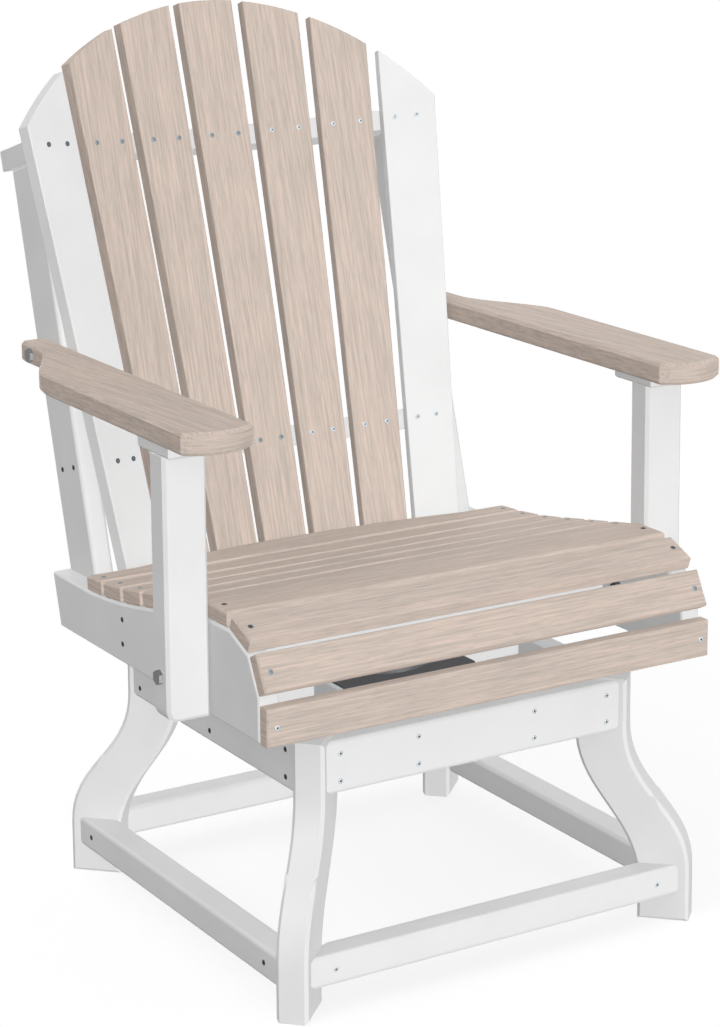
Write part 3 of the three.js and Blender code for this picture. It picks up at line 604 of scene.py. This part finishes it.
apron_face = AXIS_Y - face_of("apron_front", 1, -1)
stretcher_face = AXIS_Y - face_of("stretcher_front", 1, -1)
stretcher_low, stretcher_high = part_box("stretcher_front")
stretcher_height = (stretcher_low.z + stretcher_high.z) / 2
apron_corners = (-APRON_CORNER_SCREW_MM, APRON_CORNER_SCREW_MM)
for quarter, side_name in enumerate(BASE_SIDES):
    inner = (0,) if side_name in SIDE_APRONS else (-RAIL_SCREW_MM, RAIL_SCREW_MM)
    places = [on_base_side(quarter, aside_mm * MM, apron_face, height_mm * MM)
              for aside_mm in (*apron_corners, *inner) for height_mm in APRON_SCREW_HEIGHTS_MM]
    places += [on_base_side(quarter, aside_mm * MM, stretcher_face, stretcher_height)
               for aside_mm in (-STRETCHER_SCREW_MM, STRETCHER_SCREW_MM)]
    # The left side's heads get the dark copy of the steel and the other sides the bright one: painted
    # reflection.
    steel = dark_heads if side_name == "left" else bright_heads
    make_screws(f"screws_base_{side_name}", "base", places, steel, dark_well)

# %% [markdown]
# Seat screws
#
# Every seat board has one screw at each end, half an inch in, which goes into the side board behind it. The
# boards are tilted, so each screw needs the slope of its own board. We read it from the solid: the outer
# face is the largest flat one that looks up and forward, or just forward on the front board, and the screw
# sits in the middle of it. The rearmost board is bowed, so its screws are measured from its front edge. In
# the photograph the heads on the two boards where the seat bends down are darker than the others.

# %% Drive the seat screws
SEAT_SCREW_X_MM = 295
BOWED_SLAT_SCREW_MM = 18
LOOKING_COSINE = 0.5
FORWARD = Vector((0, -1, 0))
UP_AND_FORWARD = Vector((0, -0.35, 1)).normalized()
BENDING_BOARDS = ("seat_slat_7", "seat_nose_upper")


def outer_face(node, towards):
    """The middle and the normal of the largest flat area of a solid that looks in a direction."""
    areas = {}
    for polygon in nodes[node].data.polygons:
        if polygon.normal.dot(towards) < LOOKING_COSINE:
            continue
        key = tuple(round(c, 2) for c in polygon.normal)
        areas.setdefault(key, []).append(polygon)
    faces = max(areas.values(), key=lambda group: sum(p.area for p in group))
    normal = faces[0].normal.copy()
    points = [nodes[node].data.vertices[i].co for p in faces for i in p.vertices]
    middle = Vector([(min(c) + max(c)) / 2 for c in zip(*points)])
    middle -= normal * (middle - points[0]).dot(normal)
    return middle, normal


def seat_board_screws(name):
    """The two screws of a seat board, each a place and an outward direction."""
    middle, normal = outer_face(name, FORWARD if name == "seat_front_board" else UP_AND_FORWARD)
    if name == "seat_slat_1":
        forward = middle.y - (face_of(name, 1, -1) + BOWED_SLAT_SCREW_MM * MM)
        middle += Vector((0, -forward, forward * normal.y / normal.z))
    return [(Vector((side * SEAT_SCREW_X_MM * MM, middle.y, middle.z)), normal) for side in (-1, 1)]


level_screws = []
bend_screws = []
for name in nodes:
    if name.startswith(("seat_slat", "seat_nose")):
        group = bend_screws if name in BENDING_BOARDS else level_screws
        group += seat_board_screws(name)
# The heads on the two bending boards get a dimmer copy of the steel, and those on the front board the bright
# one: painted reflection.
make_screws("screws_seat_slats", "seat", level_screws, grey_heads, grey_well)
make_screws("screws_seat_bend", "seat", bend_screws, dim_heads, dark_well)
make_screws("screws_front_board", "seat", seat_board_screws("seat_front_board"), bright_heads, dark_well)

# %% [markdown]
# Screws in the side boards and uprights
#
# The side boards are screwed to the cross boards from outside, two screws into the end of each cross board,
# one above the other. Two more go through each upright into the end of the lower back rail. The back leans,
# so their place is measured up the back and into it.

# %% Drive the side screws
CROSS_SCREW_HEIGHTS_MM = (387.9, 357.2)
UPRIGHT_SCREW_DEPTHS_MM = (18, 52)


def reach_along(node, direction):
    """The lowest and highest distance of a solid's points along a direction."""
    distances = [v.co.dot(direction) for v in nodes[node].data.vertices]
    return min(distances), max(distances)


def rail_height(rail):
    """The middle height of a rail, measured up the leaning back."""
    return sum(reach_along(rail, UP_THE_BACK)) / 2


for side, place in ((-1, "left"), (1, "right")):
    outwards = Vector((side, 0, 0))
    side_face = face_of(f"seat_side_{place}", 0, side)
    places = []
    for cross in ("seat_cross_front", "seat_cross_rear"):
        low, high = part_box(cross)
        for height_mm in CROSS_SCREW_HEIGHTS_MM:
            places.append((Vector((side_face, (low.y + high.y) / 2, height_mm * MM)), outwards))
    upright_face = face_of(f"back_upright_{place}", 0, side)
    upright_front = reach_along(f"back_upright_{place}", INTO_THE_BACK)[0]
    up = UP_THE_BACK * rail_height("back_rail_lower")
    for depth_mm in UPRIGHT_SCREW_DEPTHS_MM:
        point = INTO_THE_BACK * (upright_front + depth_mm * MM) + up
        places.append((Vector((upright_face, point.y, point.z)), outwards))
    # These heads get the dark copy of the steel: painted reflection.
    make_screws(f"screws_side_{place}", "seat", places, dark_heads, dark_well)

# %% [markdown]
# Splat screws
#
# Each splat has two screws into the upper rail and two into the lower rail, in two rows that follow the
# fan. The rows lie at the rails' middle heights. For a row we cut each splat's front face at that height
# and set two screws in from its edges. On the outermost splats the outer screws sit further in. The back is
# hollow, so each splat turns a little more towards the camera than the one on its left, and in the
# photograph their heads grow brighter in the same order.

# %% Drive the splat screws
SPLATS = 7
SCREW_INSET_SHARES = {"back_rail_upper": 0.23, "back_rail_lower": 0.25}
OUTER_SPLAT_OUTSIDE_SHARE = 0.365
OUTER_SPLAT_INSIDE_SHARE = 0.22
ON_FACE_MM = 0.2
# The heads' steels grow brighter from left to right with each splat's turn towards the light: painted
# reflection.
SPLAT_STEELS = [dim_heads] + [grey_heads] * 3 + [bright_heads] * 3


def splat_cut(name, height):
    """The left and right ends of a splat's front face at a height up the back, and the face's normal."""
    middle, normal = outer_face(name, -INTO_THE_BACK)
    points = []
    for edge in nodes[name].data.edges:
        start, end = (nodes[name].data.vertices[i].co for i in edge.vertices)
        start_rise = start.dot(UP_THE_BACK) - height
        end_rise = end.dot(UP_THE_BACK) - height
        if start_rise * end_rise >= 0:
            continue
        point = start.lerp(end, start_rise / (start_rise - end_rise))
        if abs((point - middle).dot(normal)) < ON_FACE_MM * MM:
            points.append(point)
    points.sort(key=lambda p: p.x)
    return points[0], points[-1], normal


def inset_shares(number, rail):
    """How far the two screws of a splat sit from its left edge, as shares of its width there."""
    if number == 1:
        return OUTER_SPLAT_OUTSIDE_SHARE, 1 - OUTER_SPLAT_INSIDE_SHARE
    if number == SPLATS:
        return OUTER_SPLAT_INSIDE_SHARE, 1 - OUTER_SPLAT_OUTSIDE_SHARE
    return SCREW_INSET_SHARES[rail], 1 - SCREW_INSET_SHARES[rail]


for number, steel in enumerate(SPLAT_STEELS, start=1):
    places = []
    for rail in SCREW_INSET_SHARES:
        left, right, normal = splat_cut(f"back_splat_{number}", rail_height(rail))
        places += [(left.lerp(right, share), normal) for share in inset_shares(number, rail)]
    make_screws(f"screws_splat_{number}", "seat", places, steel, grey_well)

# %% [markdown]
# Light
#
# The photograph has hardly any shadows. Each face has one even tone that depends only on where it looks:
# the front is nearly white, the left side is mid grey, and the tops lie between them. A few wide lights do
# that: a low key from the front, one from high on the left, one from the right and behind, and two from
# below, which stand for what a white floor throws up. One more from low behind shows the back as evenly as
# the front. As suns without shadow they also reach the boards under the seat, and as their light isn't
# passed on from board to board, it leaves no glow in the corners. A small part of the high one does cast a
# shadow, so that the chair stands on its floor.

# %% Place the lights
SHADOW_SHARE = 0.12
SOFT_DISC_DEG = 30
HIGH_LEFT_STRENGTH = 1.58
HIGH_LEFT_PLACE = {"azimuth_deg": -76, "elevation_deg": 40}


def add_sun(name, strength, azimuth_deg, elevation_deg, casts_shadow=False):
    """A wide sun that shines from an azimuth, where 0 is the front and 90 is +X, and from an elevation."""
    data = bpy.data.lights.new(name, "SUN")
    data.energy = strength
    data.angle = math.radians(SOFT_DISC_DEG)
    data.use_shadow = casts_shadow
    if not casts_shadow:
        data.cycles.max_bounces = 0
    obj = bpy.data.objects.new(name, data)
    bpy.context.scene.collection.objects.link(obj)
    azimuth, elevation = math.radians(azimuth_deg), math.radians(elevation_deg)
    towards = Vector((math.sin(azimuth) * math.cos(elevation), -math.cos(azimuth) * math.cos(elevation),
                      math.sin(elevation)))
    obj.rotation_euler = towards.to_track_quat("Z", "Y").to_euler()
    print("sun", name, "has strength", round(strength, 2))


add_sun("front key", 1.16, azimuth_deg=-18, elevation_deg=20)
add_sun("high left", HIGH_LEFT_STRENGTH * (1 - SHADOW_SHARE), **HIGH_LEFT_PLACE)
add_sun("high left with shadow", HIGH_LEFT_STRENGTH * SHADOW_SHARE, **HIGH_LEFT_PLACE, casts_shadow=True)
add_sun("off the floor in front", 1.76, azimuth_deg=23, elevation_deg=-25)
add_sun("off the floor below", 0.9, azimuth_deg=0, elevation_deg=-90)
add_sun("right behind", 1.05, azimuth_deg=103, elevation_deg=45)
add_sun("behind", 1.7, azimuth_deg=165, elevation_deg=-14)

# %% [markdown]
# The white surroundings
#
# The background is white where the camera sees it, and where a surface mirrors it. For all other light it
# is only a pale sky, which lights the chair a little from everywhere and leaves the rest to the suns.

# %% Make the white surroundings
SKY_STRENGTH = 0.13


def seen_directly(tree):
    """1 where the camera, a mirror reflection or a clear view meets the surface, and 0 for other light."""
    path = add_node(tree, "ShaderNodeLightPath")
    first = add_node(tree, "ShaderNodeMath", {"operation": "MAXIMUM"},
                     in_0=path.outputs["Is Camera Ray"], in_1=path.outputs["Is Glossy Ray"])
    either = add_node(tree, "ShaderNodeMath", {"operation": "MAXIMUM"},
                      in_0=first.outputs["Value"], in_1=path.outputs["Is Transmission Ray"])
    return either.outputs["Value"]


world = bpy.data.worlds.new("white studio")
world.use_nodes = True
bpy.context.scene.world = world
world.node_tree.nodes.clear()
sky = add_node(world.node_tree, "ShaderNodeBackground", Color=WHITE, Strength=SKY_STRENGTH)
backdrop = add_node(world.node_tree, "ShaderNodeBackground", Color=WHITE, Strength=1.0)
surroundings = add_node(world.node_tree, "ShaderNodeMixShader", in_0=seen_directly(world.node_tree),
                        in_1=sky.outputs[0], in_2=backdrop.outputs[0])
add_node(world.node_tree, "ShaderNodeOutputWorld", Surface=surroundings.outputs[0])
print("made the", world.name)

# %% [markdown]
# The floor
#
# The chair stands on a floor that is as white as the background. To the camera the floor is white paint,
# which takes the chair's soft shadow, plus a little light of its own, just enough to bring the lit paint up
# to white. To the chair it is a darker grey, because the lights from below already stand for its glow.

# %% Lay the floor
FLOOR_HALF_M = 12
FLOOR_OWN_LIGHT = 0.2
FLOOR_TONE_TO_THE_CHAIR = "606060"


def make_floor_paint():
    material, tree = start_material("studio_floor_paint")
    seen = seen_directly(tree)
    tone = add_node(tree, "ShaderNodeMix", {"data_type": "RGBA"}, in_0=seen,
                    in_6=linear(FLOOR_TONE_TO_THE_CHAIR), in_7=WHITE)
    paint = add_node(tree, "ShaderNodeBsdfDiffuse", Color=tone.outputs["Result"])
    strength = add_node(tree, "ShaderNodeMath", {"operation": "MULTIPLY"}, in_0=seen, in_1=FLOOR_OWN_LIGHT)
    own_light = add_node(tree, "ShaderNodeEmission", Color=WHITE, Strength=strength.outputs["Value"])
    lit = add_node(tree, "ShaderNodeAddShader", in_0=paint.outputs[0], in_1=own_light.outputs[0])
    return finish_material(material, lit)


floor_mesh = bpy.data.meshes.new("floor")
floor_corners = [(FLOOR_HALF_M * x, FLOOR_HALF_M * y, 0) for x, y in ((-1, -1), (1, -1), (1, 1), (-1, 1))]
floor_mesh.from_pydata(floor_corners, [], [(0, 1, 2, 3)])
floor_mesh.materials.append(make_floor_paint())
floor = bpy.data.objects.new("floor", floor_mesh)
bpy.context.scene.collection.objects.link(floor)

# %% [markdown]
# Colour management
#
# The Standard view shows each colour as it was written.

# %% Finish
bpy.context.scene.view_settings.view_transform = "Standard"
